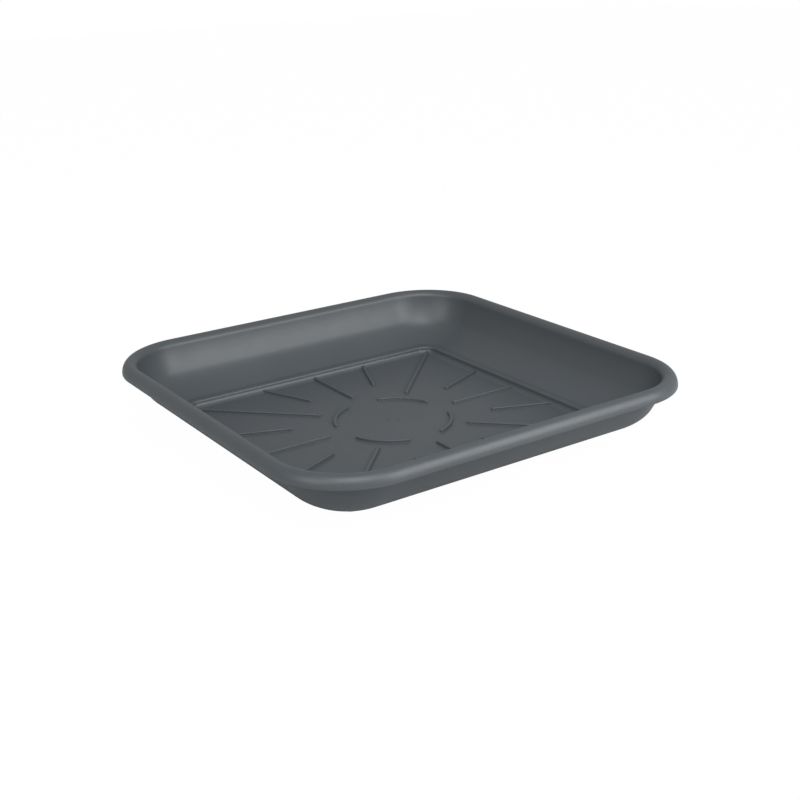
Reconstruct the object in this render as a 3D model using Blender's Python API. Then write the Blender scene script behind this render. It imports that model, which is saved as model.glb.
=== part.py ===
"""Square plant saucer: a recessed, ribbed floor, a stepped and flaring side, and a rolled rim.

Sizes are in metres, +Z is up, and the origin is the centre of the foot, on the ground.
Every plan outline is a rounded square. All of them share their four corner centres, so
one section through the middle of a side, swept round the square, gives the whole shape.
"""

import math

import bpy

MM = 0.001

# Overall size and plan
HALF = 150.0 * MM
HEIGHT = 42.9 * MM
FLOOR_CORNER_RADIUS = 9.5 * MM
CORNER_STEPS = 12

# Flaring side: part of an ellipse that runs on into a gentle arc, ever more upright
RIM_OVERHANG = 13.5 * MM
BOWL_REACH = 59.5 * MM
BOWL_DEPTH = 27.45 * MM
BOWL_LIFT = 0.15 * MM
BOWL_END_TILT = math.radians(28.0)
UPPER_RADIUS = 61.8 * MM
WALL_THICKNESS = 1.8 * MM
BOWL_X = HALF - RIM_OVERHANG - BOWL_REACH
BOWL_Z = BOWL_LIFT + BOWL_DEPTH

# Rolled rim: a bead with its inner turn drawn between two handles, and a crisp lower edge
RIM_OUTER_REACH = 5.6 * MM
RIM_OUTER_DROP = 7.4 * MM
RIM_TURN_DROP = 4.2 * MM
RIM_TOP_HANDLE = 2.5 * MM
RIM_WALL_HANDLE = 2.5 * MM
RIM_TOP_THICKNESS = 2.2 * MM
CHANNEL_DEPTH = 3.2 * MM
SKIRT_THICKNESS = 2.2 * MM
SKIRT_OUTER_EDGE = 0.3 * MM
SKIRT_INNER_EDGE = 2 * SKIRT_OUTER_EDGE

# Floor, the step round it and the foot below it
FLOOR_THICKNESS = 1.6 * MM
FLOOR_FILLET = 3.8 * MM
SHOULDER_RADIUS = 1.5 * MM
LEDGE_WIDTH = 4.2 * MM
STEP_THICKNESS = 1.6 * MM
FOOT_RADIUS = 6.0 * MM
FOOT_BLEND = 0.35 * MM

# Ribs and the broken ring on the floor
RIB_COUNT = 16
RIB_WIDTH = 2.5 * MM
RIB_HEIGHT = 1.4 * MM
RIB_EDGE_RADIUS = 0.6 * MM
RIB_ROOT = 0.2 * MM
RIB_END_INSET = 0.7 * MM
LONG_RIB_START = 51.0 * MM
SHORT_RIB_START = 70.0 * MM
RING_RADIUS = 40.1 * MM
RING_ARC_HALF_ANGLE = math.radians(25.3)
RING_ARCS = 4

# Levels, and the level planes on which the regions of the moulding meet
FLOOR_TOP = FLOOR_THICKNESS
FLOOR_JOIN_Z = FLOOR_TOP + FLOOR_FILLET
STEP_TOP = FLOOR_JOIN_Z + SHOULDER_RADIUS
RIM_TURN_Z = HEIGHT - RIM_TURN_DROP
CHANNEL_Z = HEIGHT - RIM_TOP_THICKNESS - CHANNEL_DEPTH
RIM_JOIN_GAP = 1.0 * MM
RIM_JOIN_Z = CHANNEL_Z - RIM_JOIN_GAP

# Finish of the moulding
ANTHRACITE = (0.058, 0.065, 0.071, 1.0)
SATIN_ROUGHNESS = 0.42


def clear_scene():
    for obj in list(bpy.data.objects):
        bpy.data.objects.remove(obj)


def moulded_plastic(name):
    """A satin, dark grey Principled BSDF of its own for one region."""
    material = bpy.data.materials.new(name)
    material.use_nodes = True
    shader = material.node_tree.nodes["Principled BSDF"]
    shader.inputs["Base Color"].default_value = ANTHRACITE
    shader.inputs["Roughness"].default_value = SATIN_ROUGHNESS
    shader.inputs["Metallic"].default_value = 0.0
    material.diffuse_color = ANTHRACITE
    return material


def arc(centre, reach, rise, start, end, steps):
    """Points (x, z) of part of an ellipse, from one angle to another, measured from +X."""
    points = []
    for step in range(steps + 1):
        angle = start + (end - start) * step / steps
        points.append((centre[0] + reach * math.cos(angle), centre[1] + rise * math.sin(angle)))
    return points


def angle_at_height(height, centre_z, rise):
    """Angle, in the lower right quarter of an ellipse, at which it has this height."""
    return math.asin((height - centre_z) / rise)


def ellipse_x(reach, depth, height):
    """How far out the lower right quarter of the side's ellipse lies at one height."""
    return BOWL_X + reach * math.sqrt(1 - ((BOWL_Z - height) / depth) ** 2)


def ellipse_z(reach, depth, x):
    """How high the lower right quarter of the side's ellipse lies at one distance."""
    return BOWL_Z - depth * math.sqrt(1 - ((x - BOWL_X) / reach) ** 2)


def riser_half():
    """Half-size of the step's upright face, one ledge and one shoulder inside the flaring side."""
    side_start = ellipse_x(BOWL_REACH - WALL_THICKNESS, BOWL_DEPTH - WALL_THICKNESS, STEP_TOP)
    return side_start - LEDGE_WIDTH - SHOULDER_RADIUS


def corner_centre():
    """Distance of the shared corner centres from both middle planes."""
    return riser_half() - FLOOR_CORNER_RADIUS


def plan_loop(half, height):
    """Points of one rounded square, counterclockwise. The shared corner centres fix its radius."""
    centre = corner_centre()
    radius = half - centre
    points = []
    for quarter in range(4):
        turn = quarter * math.pi / 2
        corner_x = centre * (math.cos(turn) - math.sin(turn))
        corner_y = centre * (math.sin(turn) + math.cos(turn))
        for step in range(CORNER_STEPS + 1):
            angle = turn + (math.pi / 2) * step / CORNER_STEPS
            x = corner_x + radius * math.cos(angle)
            y = corner_y + radius * math.sin(angle)
            points.append((x, y, height))
    return points


def bowl_end(offset):
    """Angle on the ellipse at which a face, this far inside the outer one, passes into its arc."""
    return -math.atan(math.tan(BOWL_END_TILT) * (BOWL_DEPTH - offset) / (BOWL_REACH - offset))


def upper_circle(offset):
    """Centre and radius of the arc that a face, this far inside the outer one, ends in."""
    radius = UPPER_RADIUS - offset
    end_x = BOWL_X + (BOWL_REACH - offset) * math.cos(bowl_end(offset))
    end_z = BOWL_Z + (BOWL_DEPTH - offset) * math.sin(bowl_end(offset))
    centre_x = end_x - radius * math.cos(BOWL_END_TILT)
    centre_z = end_z + radius * math.sin(BOWL_END_TILT)
    return (centre_x, centre_z), radius


def upper_face(offset, bottom, top, steps):
    """Section of the arc of one face between two heights."""
    centre, radius = upper_circle(offset)
    start = angle_at_height(bottom, centre[1], radius)
    end = angle_at_height(top, centre[1], radius)
    return arc(centre, radius, radius, start, end, steps)


def bowl_face(offset, bottom, steps):
    """Section of the ellipse of one face, from its bottom height up to its arc."""
    reach = BOWL_REACH - offset
    depth = BOWL_DEPTH - offset
    start = angle_at_height(bottom, BOWL_Z, depth)
    return arc((BOWL_X, BOWL_Z), reach, depth, start, bowl_end(offset), steps)


def side_face(offset, bottom):
    """Section of one face of the side, from its bottom height up to the rim."""
    bowl = bowl_face(offset, bottom, 8)
    upper = upper_face(offset, bowl[-1][1], RIM_JOIN_Z, 5)
    return bowl + upper[1:]


def bezier(points, steps):
    """Points of a cubic curve between its first and last point, drawn by the two handles between them."""
    curve = []
    for step in range(steps + 1):
        t = step / steps
        weights = ((1 - t) ** 3, 3 * t * (1 - t) ** 2, 3 * t ** 2 * (1 - t), t ** 3)
        x = sum(weight * point[0] for weight, point in zip(weights, points))
        z = sum(weight * point[1] for weight, point in zip(weights, points))
        curve.append((x, z))
    return curve


def floor_section():
    """Open section of the floor, from the edge of the flat underside round to the edge of the flat top."""
    riser = riser_half()
    foot_half = riser + STEP_THICKNESS
    foot_top = ellipse_z(BOWL_REACH, BOWL_DEPTH, foot_half)
    foot_end = math.asin((foot_top - FOOT_RADIUS) / FOOT_RADIUS)
    foot_centre = (foot_half - FOOT_RADIUS, FOOT_RADIUS)
    foot = arc(foot_centre, FOOT_RADIUS, FOOT_RADIUS, -math.pi / 2, foot_end, 6)
    side_start = angle_at_height(foot_top + FOOT_BLEND, BOWL_Z, BOWL_DEPTH)
    side_end = angle_at_height(FLOOR_JOIN_Z, BOWL_Z, BOWL_DEPTH)
    side = arc((BOWL_X, BOWL_Z), BOWL_REACH, BOWL_DEPTH, side_start, side_end, 2)
    fillet_centre = (riser - FLOOR_FILLET, FLOOR_JOIN_Z)
    fillet = arc(fillet_centre, FLOOR_FILLET, FLOOR_FILLET, 0.0, -math.pi / 2, 6)
    return foot + side + fillet


def side_section():
    """Closed section of the step and the flaring side."""
    outer = side_face(0.0, FLOOR_JOIN_Z)
    inner = side_face(WALL_THICKNESS, STEP_TOP)
    shoulder_centre = (riser_half() + SHOULDER_RADIUS, FLOOR_JOIN_Z)
    shoulder = arc(shoulder_centre, SHOULDER_RADIUS, SHOULDER_RADIUS, math.pi / 2, math.pi, 4)
    return outer + inner[::-1] + shoulder


def rim_turn(wall_top):
    """Section of the rim's top from its crown inwards and down to the inner wall."""
    crown = (HALF - RIM_OUTER_REACH, HEIGHT)
    centre, radius = upper_circle(WALL_THICKNESS)
    tilt = -angle_at_height(RIM_TURN_Z, centre[1], radius)
    top_handle = (crown[0] - RIM_TOP_HANDLE, HEIGHT)
    wall_handle = (wall_top[0] + RIM_WALL_HANDLE * math.sin(tilt), wall_top[1] + RIM_WALL_HANDLE * math.cos(tilt))
    return bezier([crown, top_handle, wall_handle, wall_top], 9)


def rim_section():
    """Closed section of the rim: up under its top, round the skirt, over the top and down the inside."""
    outer_wall = upper_face(0.0, RIM_JOIN_Z, CHANNEL_Z, 1)
    inner_wall = upper_face(WALL_THICKNESS, RIM_JOIN_Z, RIM_TURN_Z, 1)
    channel_half = (HALF - SKIRT_THICKNESS - outer_wall[-1][0]) / 2
    channel_centre = (outer_wall[-1][0] + channel_half, CHANNEL_Z)
    channel = arc(channel_centre, channel_half, CHANNEL_DEPTH, math.pi, 0.0, 10)
    skirt_z = HEIGHT - RIM_OUTER_DROP
    skirt_bottom = skirt_z - SKIRT_OUTER_EDGE
    inner_centre = (HALF - SKIRT_THICKNESS + SKIRT_INNER_EDGE, skirt_bottom + SKIRT_INNER_EDGE)
    skirt = arc(inner_centre, SKIRT_INNER_EDGE, SKIRT_INNER_EDGE, -math.pi, -math.pi / 2, 3)
    outer_centre = (HALF - SKIRT_OUTER_EDGE, skirt_z)
    skirt += arc(outer_centre, SKIRT_OUTER_EDGE, SKIRT_OUTER_EDGE, -math.pi / 2, 0.0, 3)
    crown_centre = (HALF - RIM_OUTER_REACH, skirt_z)
    outer = arc(crown_centre, RIM_OUTER_REACH, RIM_OUTER_DROP, 0.0, math.pi / 2, 9)
    turn = rim_turn(inner_wall[-1])
    return outer_wall + channel[1:] + skirt + outer[1:] + turn[1:] + inner_wall[::-1][1:]


def add_object(name, points, faces):
    mesh = bpy.data.meshes.new(name)
    mesh.from_pydata(points, [], faces)
    mesh.validate()
    obj = bpy.data.objects.new(name, mesh)
    bpy.context.collection.objects.link(obj)
    return obj


def loft(loops, closed):
    """Points and faces between neighbouring loops. A closed loft joins the last loop to the first."""
    count = len(loops[0])
    points = []
    for loop in loops:
        points.extend(loop)
    faces = []
    levels = len(loops) if closed else len(loops) - 1
    for level in range(levels):
        below = level * count
        above = ((level + 1) % len(loops)) * count
        for index in range(count):
            after = (index + 1) % count
            faces.append((below + index, below + after, above + after, above + index))
    if not closed:
        faces.append(tuple(range(count))[::-1])
        faces.append(tuple(range((len(loops) - 1) * count, len(loops) * count)))
    return points, faces


def swept_ring(name, section):
    """Solid ring with this closed section, swept round the rounded square."""
    points, faces = loft([plan_loop(x, z) for x, z in section], True)
    return add_object(name, points, faces)


def swept_plate(name, section):
    """Solid plate whose edge has this open section, with flat faces across its first and last loop."""
    points, faces = loft([plan_loop(x, z) for x, z in section], False)
    return add_object(name, points, faces)


def rib_levels():
    """Inset and height of each level of a rib, from its root in the floor to its rounded top edge."""
    edge_centre = (RIB_EDGE_RADIUS, FLOOR_TOP + RIB_HEIGHT - RIB_EDGE_RADIUS)
    edge = arc(edge_centre, RIB_EDGE_RADIUS, RIB_EDGE_RADIUS, math.pi, math.pi / 2, 3)
    return [(0.0, FLOOR_TOP - RIB_ROOT)] + edge


def rib_reach(angle, side):
    """How far out one edge of a rib runs, to the line just inside the step that it merges with."""
    end_half = riser_half() - RIB_END_INSET
    centre = corner_centre()
    off_axis = (angle + math.pi / 4) % (math.pi / 2) - math.pi / 4
    if math.isclose(abs(off_axis), math.pi / 4):
        return centre * math.sqrt(2) + end_half - centre
    return end_half / math.cos(off_axis) + side * math.tan(off_axis)


def rib_outline(angle, start, inset, height):
    """Plan of one rib: a round inner end, and an outer end that lies along the step it runs into."""
    half_width = RIB_WIDTH / 2 - inset
    centre = (start + RIB_WIDTH / 2, 0.0)
    local = arc(centre, half_width, half_width, math.pi / 2, 3 * math.pi / 2, 6)
    for side in (-half_width, half_width):
        local.append((rib_reach(angle, side), side))
    cos_a = math.cos(angle)
    sin_a = math.sin(angle)
    return [(cos_a * u - sin_a * v, sin_a * u + cos_a * v, height) for u, v in local]


def ring_outline(angle, inset, height):
    """Plan of one arc of the broken ring, with round ends."""
    half_width = RIB_WIDTH / 2 - inset
    first = angle - RING_ARC_HALF_ANGLE
    last = angle + RING_ARC_HALF_ANGLE
    first_end = (RING_RADIUS * math.cos(first), RING_RADIUS * math.sin(first))
    last_end = (RING_RADIUS * math.cos(last), RING_RADIUS * math.sin(last))
    wide = RING_RADIUS + half_width
    narrow = RING_RADIUS - half_width
    plan = arc((0.0, 0.0), wide, wide, first, last, 8)
    plan += arc(last_end, half_width, half_width, last, last + math.pi, 5)[1:-1]
    plan += arc((0.0, 0.0), narrow, narrow, last, first, 8)
    plan += arc(first_end, half_width, half_width, first + math.pi, first + 2 * math.pi, 5)[1:-1]
    return [(x, y, height) for x, y in plan]


def ribs_and_ring():
    """All the ribs and ring arcs as one mesh of separate closed bodies, ready to join to the floor."""
    levels = rib_levels()
    bodies = []
    for index in range(RIB_COUNT):
        angle = 2 * math.pi * index / RIB_COUNT
        start = SHORT_RIB_START if index % 2 else LONG_RIB_START
        bodies.append([rib_outline(angle, start, inset, height) for inset, height in levels])
    for index in range(RING_ARCS):
        angle = 2 * math.pi * (index + 0.5) / RING_ARCS
        bodies.append([ring_outline(angle, inset, height) for inset, height in levels])
    points = []
    faces = []
    for loops in bodies:
        base = len(points)
        body_points, body_faces = loft(loops, False)
        points.extend(body_points)
        faces.extend(tuple(base + index for index in face) for face in body_faces)
    return add_object("raised_ribs", points, faces)


def join_solids(target, tool):
    """Joins one solid to another with an exact Boolean union, and keeps the result as plain mesh."""
    modifier = target.modifiers.new("raised ribs", "BOOLEAN")
    modifier.operation = "UNION"
    modifier.solver = "EXACT"
    modifier.object = tool
    bpy.context.view_layer.update()
    evaluated = target.evaluated_get(bpy.context.evaluated_depsgraph_get())
    joined = bpy.data.meshes.new_from_object(evaluated)
    target.modifiers.clear()
    target.data = joined
    bpy.data.objects.remove(tool)


def finish(obj):
    """Smooth shading over the curves with crisp edges where flats meet, and the region's own plastic."""
    obj.data.materials.clear()
    obj.data.materials.append(moulded_plastic(obj.name))
    obj.data.shade_smooth()
    obj.data.set_sharp_from_angle(angle=math.radians(35))


def build_floor():
    floor = swept_plate("floor_plate", floor_section())
    join_solids(floor, ribs_and_ring())
    finish(floor)


def build_side():
    finish(swept_ring("side_wall", side_section()))


def build_rim():
    finish(swept_ring("rolled_rim", rim_section()))


clear_scene()
build_floor()
build_side()
build_rim()
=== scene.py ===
# %% [markdown]
# # A square plant saucer
#
# This lesson dresses a measured model of a square plant saucer. The real thing is one
# moulding in dark anthracite plastic: a flat floor with raised ribs, a small step round
# it, a side that flares like a bowl, and a rim that rolls over and turns down.
# The measured model comes in first as three plain regions. It gives the width and the
# height, and the finer moulding of the next cells has to stay inside its box.

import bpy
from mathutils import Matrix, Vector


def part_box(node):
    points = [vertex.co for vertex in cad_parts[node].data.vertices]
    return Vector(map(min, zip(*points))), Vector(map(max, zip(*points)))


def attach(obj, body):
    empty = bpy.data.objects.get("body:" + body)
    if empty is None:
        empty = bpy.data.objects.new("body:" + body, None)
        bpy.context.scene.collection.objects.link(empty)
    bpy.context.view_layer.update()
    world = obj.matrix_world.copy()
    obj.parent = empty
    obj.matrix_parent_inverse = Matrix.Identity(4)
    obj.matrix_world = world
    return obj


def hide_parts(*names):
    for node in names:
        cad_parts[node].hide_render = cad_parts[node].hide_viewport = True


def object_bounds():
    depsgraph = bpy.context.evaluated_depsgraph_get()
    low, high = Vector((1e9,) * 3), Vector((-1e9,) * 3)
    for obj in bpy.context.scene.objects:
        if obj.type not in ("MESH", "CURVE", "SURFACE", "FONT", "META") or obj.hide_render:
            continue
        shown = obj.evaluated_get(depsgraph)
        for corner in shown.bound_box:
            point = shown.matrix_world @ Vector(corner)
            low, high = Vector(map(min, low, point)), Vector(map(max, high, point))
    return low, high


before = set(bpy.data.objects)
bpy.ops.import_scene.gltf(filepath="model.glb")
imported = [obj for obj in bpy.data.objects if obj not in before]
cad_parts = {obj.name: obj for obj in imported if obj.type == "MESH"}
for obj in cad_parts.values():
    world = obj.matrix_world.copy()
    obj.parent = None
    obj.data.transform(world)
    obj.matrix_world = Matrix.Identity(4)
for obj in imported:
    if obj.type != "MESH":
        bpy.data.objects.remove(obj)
measured_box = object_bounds()
MM = 0.001


def in_mm(length):
    """A length in millimetres, rounded for reading."""
    return round(length / MM, 2)


for region in ("floor_plate", "side_wall", "rolled_rim"):
    low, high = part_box(region)
    print(region, "from", [in_mm(v) for v in low], "to", [in_mm(v) for v in high], "mm")

# %% [markdown]
# ## The plan of the saucer
#
# Seen from above, every line of the saucer is a square with round corners: the rim, the
# step and the foot. The mould maker drew them all about the same four corner centres, so
# a line further in has a tighter corner. That is why one function can draw every outline.
# It takes how far out the straight sides lie, and works out the corner radius by itself.
# A modifier could round the corners too, but then each line would need its own setting.
# Half the width comes from the measured box, rounded to a thousandth of a millimetre.

# %% Sizes of the plan, and one outline of it
import math
import bpy
import bmesh
from mathutils import Matrix, Vector

half_width = round(measured_box[1].x, 6)
corner_radius = 54.13 * MM
corner_centre = half_width - corner_radius
corner_steps = 24
quarter_turn = math.pi / 2


def saucer_outline(out, height):
    """Points of one rounded square, counterclockwise, with its sides this far from the middle."""
    radius = out - corner_centre
    points = []
    for quarter in range(4):
        turn = quarter * quarter_turn
        centre_x = corner_centre * (math.cos(turn) - math.sin(turn))
        centre_y = corner_centre * (math.cos(turn) + math.sin(turn))
        for step in range(corner_steps + 1):
            angle = turn + quarter_turn * step / corner_steps
            x = centre_x + radius * math.cos(angle)
            y = centre_y + radius * math.sin(angle)
            points.append(Vector((x, y, height)))
    return points


print("points in one outline:", len(saucer_outline(half_width, height=0)))

# %% [markdown]
# ## Curves of the section
#
# Cut the saucer through the middle of one side and the cut shows its section: a thin,
# even skin that bends again and again. Most of its bends are parts of ellipses and
# circles, so a few small helpers draw them. A point here is a pair: how far out, and how
# high. An angle of 0 points outwards, and 90 points up.

# %% Parts of an ellipse and of a circle
def on_ellipse(centre, reach, rise, angle):
    """Point of an ellipse at this angle in degrees."""
    turn = math.radians(angle)
    return (centre[0] + reach * math.cos(turn), centre[1] + rise * math.sin(turn))


def bend(centre, reach, rise, start, end, steps):
    """Points along part of an ellipse, between two angles in degrees."""
    angles = [start + (end - start) * step / steps for step in range(steps + 1)]
    return [on_ellipse(centre, reach, rise, angle) for angle in angles]


def round_bend(centre, radius, start, end, steps):
    """Points along part of a circle, between two angles in degrees."""
    return bend(centre, radius, radius, start, end, steps)


quarter_circle = round_bend((0, 0), radius=1, start=0, end=90, steps=3)
print("a quarter circle:", [tuple(round(v, 2) for v in point) for point in quarter_circle])

# %% [markdown]
# ## The flaring side
#
# The side rises from the floor like a bowl and grows ever more upright, so that the
# moulding slips off its core. Low down each face follows an ellipse. Where it leans by 28
# degrees it passes into a gentle arc that carries it to the rim. The inner and the outer
# face follow one rule, one skin thickness apart. An even skin matters in a real moulding,
# because a thick spot cools late and pulls a dent.

# %% Sizes of the side, and where its arc begins
bowl_centre = (77.0 * MM, 27.6 * MM)
bowl_reach = 59.5 * MM
bowl_depth = 27.45 * MM
bowl_end_tilt = 28.0
upper_radius = 61.8 * MM
wall_thickness = 1.8 * MM


def turn_at(height, centre, rise):
    """Angle in degrees at which the lower right of an ellipse has this height."""
    return math.degrees(math.asin((height - centre[1]) / rise))


def bowl_end(thinner):
    """Angle on the ellipse of one face at which the arc takes over."""
    flatness = (bowl_depth - thinner) / (bowl_reach - thinner)
    return -math.degrees(math.atan(math.tan(math.radians(bowl_end_tilt)) * flatness))


def upper_circle(thinner):
    """Centre and radius of the arc of one face."""
    reach = bowl_reach - thinner
    depth = bowl_depth - thinner
    out, height = on_ellipse(bowl_centre, reach, depth, bowl_end(thinner))
    radius = upper_radius - thinner
    lean = math.radians(bowl_end_tilt)
    return (out - radius * math.cos(lean), height + radius * math.sin(lean)), radius


arc_centre, arc_radius = upper_circle(thinner=0)
print("arc of the outer face: radius", in_mm(arc_radius), "about", [in_mm(v) for v in arc_centre])

# %% One face of the side
def side_point(thinner, height):
    """Point of one face at this height, on its arc."""
    centre, radius = upper_circle(thinner)
    return on_ellipse(centre, radius, radius, turn_at(height, centre, radius))


def side_face(thinner, bottom, top):
    """Points of one face from its bottom up to its top. Thinner moves it inwards."""
    reach = bowl_reach - thinner
    depth = bowl_depth - thinner
    start = turn_at(bottom, bowl_centre, depth)
    bowl = bend(bowl_centre, reach, depth, start, bowl_end(thinner), steps=22)
    centre, radius = upper_circle(thinner)
    arc = round_bend(centre, radius, -bowl_end_tilt, turn_at(top, centre, radius), steps=16)
    return bowl + arc[1:]


print("points in one face:", len(side_face(thinner=0, bottom=10 * MM, top=36 * MM)))

# %% [markdown]
# ## The rolled rim
#
# The top of the side rolls over like a bead and comes down outside to a crisp lower edge,
# where the two halves of the mould part. Beneath it stays an open channel, which makes the
# rim stiff and gives fingers something to hold. The outside of the bead is a quarter of an
# ellipse. Inside, the bead has to run into a wall that leans, so a cubic curve with two
# handles draws that turn: an ellipse would meet the wall with a kink.

# %% Sizes of the rim, and the cubic curve
rim_height = round(measured_box[1].z, 6)
crown_reach = 5.6 * MM
crown_drop = 7.4 * MM
turn_drop = 4.2 * MM
top_handle = 2.5 * MM
wall_handle = 2.5 * MM
rim_thickness = 2.2 * MM
channel_depth = 3.2 * MM
skirt_thickness = 2.2 * MM
outer_edge_radius = 0.3 * MM
inner_edge_radius = 2 * outer_edge_radius


def handled_curve(start, start_handle, end_handle, end, steps):
    """Points of a cubic curve that two handles pull into shape."""
    points = []
    for step in range(steps + 1):
        t = step / steps
        weights = ((1 - t) ** 3, 3 * t * (1 - t) ** 2, 3 * t * t * (1 - t), t ** 3)
        pulls = (start, start_handle, end_handle, end)
        points.append(tuple(sum(w * p[axis] for w, p in zip(weights, pulls)) for axis in (0, 1)))
    return points


plain_arch = handled_curve((0, 0), (0, 1), (1, 1), (1, 0), steps=2)
print("middle of a plain arch:", plain_arch[1])

# %% [markdown]
# The section goes up the inside of the channel, round the lower edge of the skirt, over
# the crown and down to the inner face, so that its faces look outwards once it is swept.

# %% Section of the rim
channel_height = rim_height - rim_thickness - channel_depth
wall_outside = side_point(0, channel_height)
skirt_inside = half_width - skirt_thickness
channel_half = (skirt_inside - wall_outside[0]) / 2
channel_middle = (wall_outside[0] + channel_half, channel_height)
channel = bend(channel_middle, channel_half, channel_depth, 180, 0, steps=20)

skirt_height = rim_height - crown_drop
inner_edge_centre = (skirt_inside + inner_edge_radius, skirt_height + outer_edge_radius)
skirt = round_bend(inner_edge_centre, inner_edge_radius, -180, -90, steps=6)
outer_edge_centre = (half_width - outer_edge_radius, skirt_height)
skirt += round_bend(outer_edge_centre, outer_edge_radius, -90, 0, steps=6)

crown_out = half_width - crown_reach
crown = bend((crown_out, skirt_height), crown_reach, crown_drop, 0, 90, steps=14)
wall_inside = side_point(wall_thickness, rim_height - turn_drop)
wall_tilt = -math.radians(turn_at(wall_inside[1], *upper_circle(wall_thickness)))
wall_pull_out = wall_inside[0] + wall_handle * math.sin(wall_tilt)
wall_pull_up = wall_inside[1] + wall_handle * math.cos(wall_tilt)
top_pull = (crown_out - top_handle, rim_height)
wall_pull = (wall_pull_out, wall_pull_up)
crown += handled_curve((crown_out, rim_height), top_pull, wall_pull, wall_inside, steps=20)[1:]
print("channel", in_mm(2 * channel_half), "mm wide")
print("wall", round(math.degrees(wall_tilt), 1), "degrees off upright where the rim begins")

# %% [markdown]
# ## The floor and its step
#
# The floor lies a little lower than the bottom of the bowl. A soft step joins them: a
# round shoulder at its top and a hollow fillet at its foot. Those two bends catch the
# light as a pair of thin lines round the floor. Between the shoulder and the bowl lies a
# narrow ledge, and one more point on it eases the bowl into the level. Underneath, the
# same step shows as a foot with a rounded edge, on which the saucer stands.

# %% Section of the step and the foot
floor_top = 1.6 * MM
step_height = 5.3 * MM
step_out = 105.37 * MM
step_top = floor_top + step_height
shoulder_radius = 1.5 * MM
fillet_radius = 3.8 * MM
foot_out = 106.97 * MM
foot_radius = 6.0 * MM
foot_end = -24
side_above_foot = 0.55 * MM
side_above_ledge = 0.25 * MM
ledge_width = 1.2 * MM
ledge_rise = 0.02 * MM

shoulder_centre = (step_out + shoulder_radius, step_top - shoulder_radius)
shoulder = round_bend(shoulder_centre, shoulder_radius, 90, 180, steps=8)
fillet_centre = (step_out - fillet_radius, floor_top + fillet_radius)
fillet = round_bend(fillet_centre, fillet_radius, 0, -90, steps=12)
foot = round_bend((foot_out - foot_radius, foot_radius), foot_radius, -90, foot_end, steps=10)
outer_side = side_face(0, foot[-1][1] + side_above_foot, channel_height)
inner_side = side_face(wall_thickness, step_top + side_above_ledge, rim_height - turn_drop)
ledge = [(inner_side[0][0] - ledge_width, step_top + ledge_rise)]
print("step", in_mm(step_height), "mm high,", in_mm(step_out), "mm out")

# %% [markdown]
# ## Sweeping the section round the saucer
#
# The whole section is one long line from the middle of the underside, up the outside,
# over the rim and down the inside to the middle of the floor. Each of its points becomes
# one outline of the plan, neighbouring outlines are joined by quads, and the first and
# last outline are closed by a flat face. The result is one watertight skin, as in the
# mould. Spinning the line with a modifier would only give a round saucer.
# Smooth shading hides the small steps, but a bend sharper than 50 degrees stays an edge.

# %% The moulded shell
outside = foot + outer_side + channel[1:] + skirt
inside = inner_side[::-1] + ledge + shoulder + fillet[1:]
section = outside + crown[1:] + inside[1:]
sharp_angle = 50


def closed_skin(name, outlines):
    """A mesh object that joins outline to outline with quads and closes both ends."""
    count = len(outlines[0])
    mesh = bmesh.new()
    rows = [[mesh.verts.new(point) for point in outline] for outline in outlines]
    for lower, upper in zip(rows, rows[1:]):
        for index in range(count):
            after = (index + 1) % count
            mesh.faces.new((lower[index], lower[after], upper[after], upper[index]))
    mesh.faces.new(rows[0][::-1])
    mesh.faces.new(rows[-1])
    data = bpy.data.meshes.new(name)
    mesh.to_mesh(data)
    mesh.free()
    data.shade_smooth()
    data.set_sharp_from_angle(angle=math.radians(sharp_angle))
    piece = bpy.data.objects.new(name, data)
    bpy.context.collection.objects.link(piece)
    return piece


saucer_shell = closed_skin("saucer_shell", [saucer_outline(*point) for point in section])
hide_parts("floor_plate", "side_wall", "rolled_rim")
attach(saucer_shell, "root")
print("shell:", len(section), "outlines,", len(saucer_shell.data.polygons), "faces")

# %% [markdown]
# ## The ribs on the floor
#
# Sixteen low ribs run out from the middle to the step. They lift the pot clear of the
# water and stiffen the floor. A rib in a mould is a milled groove: its end is as round as
# the cutter, its top edge is rounded, and it meets the floor in a tiny hollow. So each
# rib is built as a stack of outlines, wide where it meets the floor and narrower towards
# the top. The stack starts below the floor, so that no gap can show, and its outer end
# runs into the fillet of the step.

# %% Stack of outlines that makes a rib
rib_width = 2.5 * MM
rib_height = 1.8 * MM
rib_edge = 0.6 * MM
rib_hollow = 0.15 * MM
root_spread = 0.1 * MM
root_depth = 0.15 * MM
rib_end_out = 104.75 * MM
eighth_turn = math.pi / 4

rib_layers = [(rib_hollow + root_spread, floor_top - root_depth)]
rib_layers += round_bend((rib_hollow, floor_top + rib_hollow), rib_hollow, -90, -180, steps=4)
rib_layers += round_bend((-rib_edge, floor_top + rib_height - rib_edge), rib_edge, 0, 90, steps=5)


def rib_reach(angle, side):
    """Where one edge of a rib ends, just short of the face of the step or of its corner."""
    off_axis = (angle + eighth_turn) % quarter_turn - eighth_turn
    if math.isclose(abs(off_axis), eighth_turn):
        return corner_centre * math.sqrt(2) + rib_end_out - corner_centre
    return rib_end_out / math.cos(off_axis) + side * math.tan(off_axis)


def rib_outline(angle, start, wider, height):
    """Plan of one rib: round at its inner end, cut along the step at its outer end."""
    half = rib_width / 2 + wider
    plan = round_bend((start + rib_width / 2, 0), half, 90, 270, steps=12)
    plan += [(rib_reach(angle, side), side) for side in (-half, half)]
    turned = Matrix.Rotation(angle, 3, "Z")
    return [turned @ Vector((along, side, height)) for along, side in plan]


print("rib layers, how much wider and how high:", [tuple(map(in_mm, layer)) for layer in rib_layers])

# %% [markdown]
# Every second rib is shorter, because sixteen long ones would crowd together near the
# middle. A loop over the angle places them all, so the pattern stays exact.

# %% Sixteen ribs
rib_count = 16
long_rib_start = 51.0 * MM
short_rib_start = 70.0 * MM
floor_details = []

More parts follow.
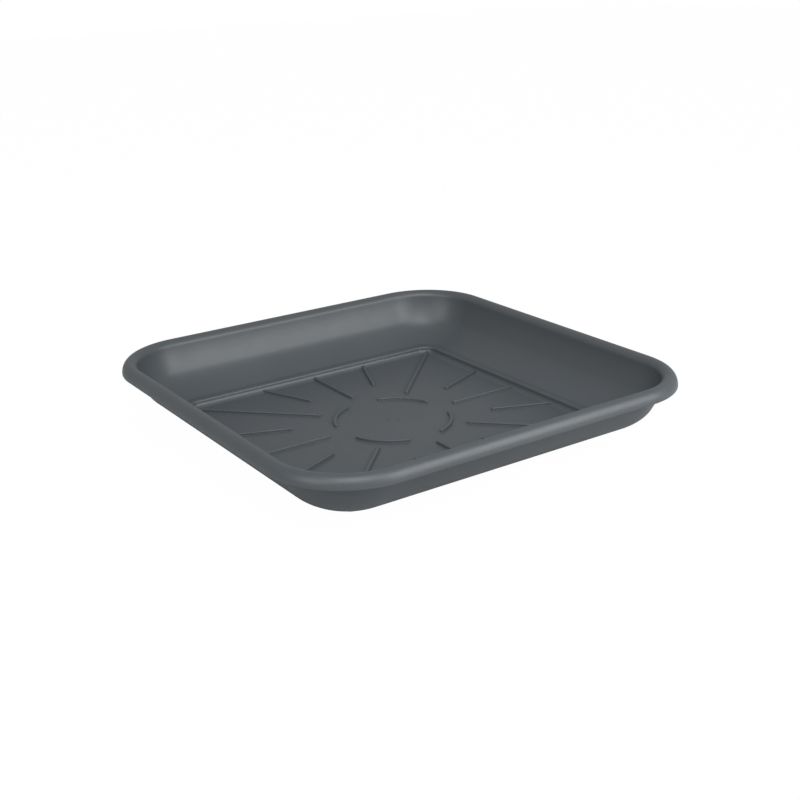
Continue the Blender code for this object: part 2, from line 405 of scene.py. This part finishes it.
for index in range(rib_count):
    angle = 2 * math.pi * index / rib_count
    start = short_rib_start if index % 2 else long_rib_start
    outlines = [rib_outline(angle, start, *layer) for layer in rib_layers]
    rib = closed_skin(f"floor_rib_{index + 1:02d}", outlines)
    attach(rib, "root")
    floor_details.append(rib)
print("ribs start", in_mm(long_rib_start), "and", in_mm(short_rib_start), "mm from the middle")

# %% [markdown]
# ## The broken ring
#
# Inside the ribs lies a ring of the same section, broken into four arcs so that water
# can drain through the gaps. Each arc is a stack of bean-shaped outlines: the outer edge,
# a round end, the inner edge and the other round end.

# %% Four arcs of the ring
ring_radius = 40.1 * MM
arc_count = 4
arc_half_angle = 25.3
middle_of_floor = (0, 0)


def arc_outline(middle, wider, height):
    """Plan of one ring arc, whose middle lies at this angle in degrees."""
    half = rib_width / 2 + wider
    first = middle - arc_half_angle
    last = middle + arc_half_angle
    first_end = on_ellipse(middle_of_floor, ring_radius, ring_radius, first)
    last_end = on_ellipse(middle_of_floor, ring_radius, ring_radius, last)
    plan = round_bend(middle_of_floor, ring_radius + half, first, last, steps=20)
    plan += round_bend(last_end, half, last, last + 180, steps=10)[1:-1]
    plan += round_bend(middle_of_floor, ring_radius - half, last, first, steps=20)
    plan += round_bend(first_end, half, first + 180, first + 360, steps=10)[1:-1]
    return [Vector((x, y, height)) for x, y in plan]


for index in range(arc_count):
    arc_middle = (index + 0.5) * 360 / arc_count
    outlines = [arc_outline(arc_middle, *layer) for layer in rib_layers]
    ring_arc = closed_skin(f"ring_arc_{index + 1}", outlines)
    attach(ring_arc, "root")
    floor_details.append(ring_arc)
print("ring radius", in_mm(ring_radius), "mm, each arc", 2 * arc_half_angle, "degrees")

# %% [markdown]
# ## The injection point
#
# The melt enters the mould at the middle of the floor. It leaves a round mark there: a
# very low ring about a flat spot, less than two tenths of a millimetre high. It is a stack
# of round outlines again, which go out, up, and in to the flat spot.

# %% Low ring at the middle of the floor
point_radius = 4.3 * MM
point_height = 0.16 * MM
point_depth = 0.1 * MM
bead_middle = point_radius - 0.6 * MM
bead_reach = 0.5 * MM
spot_radius = point_radius - 1.4 * MM
spot_height = 0.02 * MM


def round_outline(radius, height):
    """Points of a circle about the middle of the floor."""
    circle = round_bend(middle_of_floor, radius, 0, 360, steps=48)
    return [Vector((x, y, height)) for x, y in circle[:-1]]


point_layers = [(point_radius, floor_top - point_depth), (point_radius, floor_top)]
point_layers += bend((bead_middle, floor_top), bead_reach, point_height, 0, 180, steps=8)
point_layers += [(spot_radius, floor_top + spot_height)]
injection_point = closed_skin("injection_point", [round_outline(*layer) for layer in point_layers])
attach(injection_point, "root")
floor_details.append(injection_point)
print("injection point", in_mm(2 * point_radius), "mm across and", in_mm(point_height), "mm high")

# %% [markdown]
# ## Anthracite plastic
#
# The plastic is dark grey with a cool cast and a satin skin. Up close it isn't even: the
# colour drifts a little where the melt flowed, the skin has a fine grain from the eroded
# steel of the mould, and the gloss varies from place to place. All of that is made from
# noise in object space, so the grain keeps its real size, a fraction of a millimetre.

# %% Build the plastic
darker_grey = (0.0545, 0.0632, 0.0700, 1)
lighter_grey = (0.0588, 0.0678, 0.0750, 1)
drift_stops = ((0.3, darker_grey), (0.7, lighter_grey))
glossiest = 0.33
dullest = 0.47
grain_depth = 0.06 * MM


def add_node(tree, kind, **values):
    """A shader node with some of its sockets set by name."""
    node = tree.nodes.new(kind)
    for name, value in values.items():
        node.inputs[name].default_value = value
    return node


def anthracite_plastic(name):
    """Satin anthracite plastic with colour drift, uneven gloss and fine grain."""
    material = bpy.data.materials.new(name)
    material.use_nodes = True
    tree = material.node_tree
    link = tree.links.new
    shader = tree.nodes["Principled BSDF"]
    shader.inputs["IOR"].default_value = 1.5
    place = add_node(tree, "ShaderNodeTexCoord").outputs["Object"]

    drift = add_node(tree, "ShaderNodeTexNoise", Scale=22.0, Detail=3.0, Roughness=0.5)
    link(place, drift.inputs["Vector"])
    tint = add_node(tree, "ShaderNodeValToRGB")
    for stop, (position, grey) in zip(tint.color_ramp.elements, drift_stops):
        stop.position = position
        stop.color = grey
    link(drift.outputs["Fac"], tint.inputs["Fac"])
    link(tint.outputs["Color"], shader.inputs["Base Color"])

    gloss = add_node(tree, "ShaderNodeTexNoise", Scale=90.0, Detail=5.0, Roughness=0.65)
    link(place, gloss.inputs["Vector"])
    gloss_range = add_node(tree, "ShaderNodeMapRange")
    gloss_range.inputs["To Min"].default_value = glossiest
    gloss_range.inputs["To Max"].default_value = dullest
    link(gloss.outputs["Fac"], gloss_range.inputs["Value"])
    link(gloss_range.outputs["Result"], shader.inputs["Roughness"])

    grain = add_node(tree, "ShaderNodeTexNoise", Scale=2200.0, Detail=2.0, Roughness=0.6)
    link(place, grain.inputs["Vector"])
    bump = add_node(tree, "ShaderNodeBump", Strength=0.25, Distance=grain_depth)
    link(grain.outputs["Fac"], bump.inputs["Height"])
    link(bump.outputs["Normal"], shader.inputs["Normal"])
    return material


moulded_finish = anthracite_plastic("anthracite_plastic")
for piece in [saucer_shell] + floor_details:
    piece.data.materials.append(moulded_finish)
print("finish on", 1 + len(floor_details), "pieces")

# %% [markdown]
# ## The ground
#
# The saucer stands on white ground that fades into a white background. The ground is a
# plane eight metres across, a hair below the foot so that the two faces don't flicker.
# What the camera sees of it is mostly plain white, with a little diffuse white mixed in,
# so that the shadow under the saucer stays. Light that bounces off it meets a pale
# diffuse face, which brightens the saucer a little from below.

# %% White ground
ground_half = 4.0
ground_drop = 0.1 * MM
white = (1, 1, 1, 1)
pale_grey = (0.6, 0.6, 0.6, 1)
plain_share = 0.985


def show_camera(tree, seen, real, surface):
    """Show the camera one shader, and every other ray the real one."""
    path = add_node(tree, "ShaderNodeLightPath")
    choice = add_node(tree, "ShaderNodeMixShader")
    tree.links.new(path.outputs["Is Camera Ray"], choice.inputs["Fac"])
    tree.links.new(real, choice.inputs[1])
    tree.links.new(seen, choice.inputs[2])
    tree.links.new(choice.outputs["Shader"], surface)


def white_ground_finish():
    """Pale diffuse ground that the camera sees as white with a faint shadow."""
    material = bpy.data.materials.new("white_ground")
    material.use_nodes = True
    tree = material.node_tree
    tree.nodes.clear()
    pale = add_node(tree, "ShaderNodeBsdfDiffuse", Color=pale_grey)
    shaded = add_node(tree, "ShaderNodeBsdfDiffuse", Color=white)
    plain = add_node(tree, "ShaderNodeEmission", Color=white, Strength=1.0)
    seen = add_node(tree, "ShaderNodeMixShader", Fac=plain_share)
    out = add_node(tree, "ShaderNodeOutputMaterial")
    tree.links.new(shaded.outputs["BSDF"], seen.inputs[1])
    tree.links.new(plain.outputs["Emission"], seen.inputs[2])
    show_camera(tree, seen.outputs["Shader"], pale.outputs["BSDF"], out.inputs["Surface"])
    return material


square = ((-1, -1), (1, -1), (1, 1), (-1, 1))
ground_corners = [(x * ground_half, y * ground_half, -ground_drop) for x, y in square]
ground_data = bpy.data.meshes.new("ground")
ground_data.from_pydata(ground_corners, [], [(0, 1, 2, 3)])
ground_data.materials.append(white_ground_finish())
ground = bpy.data.objects.new("ground", ground_data)
bpy.context.collection.objects.link(ground)
print("ground", ground.dimensions[0], "m across")

# %% [markdown]
# ## Light
#
# A product like this is shot in a white tent, so light comes from everywhere. Three soft
# lamps add to it. The key lamp stands low and close at the front right: it draws the sheen
# along the near rim, and being close it gives the near rim more than the far wall. The
# high lamp reaches the floor over that rim, and the left lamp keeps the left side from
# going dark. All three are large, because a small one burns a hard spot into every corner.
# The satin plastic mirrors the tent at its plain strength. Only the camera sees it white.

# %% The white tent
tent_light = 0.44


def white_tent():
    """A world that lights evenly from all sides, and that the camera sees as white."""
    world = bpy.data.worlds.new("white_tent")
    world.use_nodes = True
    tree = world.node_tree
    even = tree.nodes["Background"]
    even.inputs["Color"].default_value = white
    even.inputs["Strength"].default_value = tent_light
    plain = add_node(tree, "ShaderNodeBackground", Color=white, Strength=1.0)
    surface = tree.nodes["World Output"].inputs["Surface"]
    show_camera(tree, plain.outputs["Background"], even.outputs["Background"], surface)
    return world


bpy.context.scene.world = white_tent()
print("tent light:", tent_light)

# %% [markdown]
# Lamps and camera are both placed by where one would walk to: so many degrees round the
# saucer, so many degrees up, and a distance in metres. At 0 degrees one stands in front
# of its near side, and a positive angle leads to the right.

# %% The three lamps
def away(azimuth, elevation):
    """Direction out from the saucer, by its degrees round it and its degrees up."""
    turn = math.radians(azimuth)
    lift = math.radians(elevation)
    flat = math.cos(lift)
    return Vector((math.sin(turn) * flat, -math.cos(turn) * flat, math.sin(lift)))


def soft_lamp(name, azimuth, elevation, distance, size, power):
    """A square area lamp that faces the saucer."""
    data = bpy.data.lights.new(name, "AREA")
    data.shape = "SQUARE"
    data.size = size
    data.energy = power
    lamp = bpy.data.objects.new(name, data)
    lamp.location = away(azimuth, elevation) * distance
    lamp.rotation_euler = lamp.location.to_track_quat("Z", "Y").to_euler()
    bpy.context.collection.objects.link(lamp)
    print(name, size, "m wide, at", [round(v, 2) for v in lamp.location])


soft_lamp("key_lamp", azimuth=30, elevation=27, distance=0.9, size=0.6, power=5.1)
soft_lamp("high_lamp", azimuth=-25, elevation=50, distance=1.8, size=1.2, power=18.6)
soft_lamp("left_lamp", azimuth=-75, elevation=28, distance=1.8, size=0.9, power=8.1)

# %% [markdown]
# ## Camera
#
# The photograph looks down at the saucer by some twenty degrees, roughly towards one
# corner. The camera stands on a sphere about the middle of the foot, looks a little above
# that middle, and is rolled by about a degree and a half. Its lens is a mild telephoto.
# The picture gives its focal length in pixels, and the sensor's width turns that into
# millimetres.

# %% Camera of the photograph
stand_azimuth = -33.742
stand_elevation = 21.676
stand_distance = 844.13 * MM
aim_sideways = -0.363
aim_higher = 1.018
roll = math.radians(-1.4506)
focal_pixels = 1225.21
picture_width = 800
sensor_width = 36.0
nearest_seen = 10 * MM

backward = away(stand_azimuth + aim_sideways, stand_elevation - aim_higher)
level_right = (-backward).cross(Vector((0, 0, 1))).normalized()
level_up = level_right.cross(-backward)
right = math.cos(roll) * level_right + math.sin(roll) * level_up
up = -math.sin(roll) * level_right + math.cos(roll) * level_up
turned = Matrix((right, up, backward)).transposed().to_4x4()

camera_data = bpy.data.cameras.new("photo_camera")
camera_data.sensor_width = sensor_width
camera_data.lens = focal_pixels / picture_width * sensor_width
camera_data.clip_start = nearest_seen
camera = bpy.data.objects.new("photo_camera", camera_data)
bpy.context.collection.objects.link(camera)
stand = away(stand_azimuth, stand_elevation) * stand_distance
camera.matrix_world = Matrix.Translation(stand) @ turned
bpy.context.scene.camera = camera
print("lens", round(camera_data.lens, 2), "mm, standing at", [in_mm(v) for v in stand], "mm")

# %% [markdown]
# ## Colours as they are written
#
# The standard view shows a colour as it is written.

bpy.context.scene.view_settings.view_transform = "Standard"
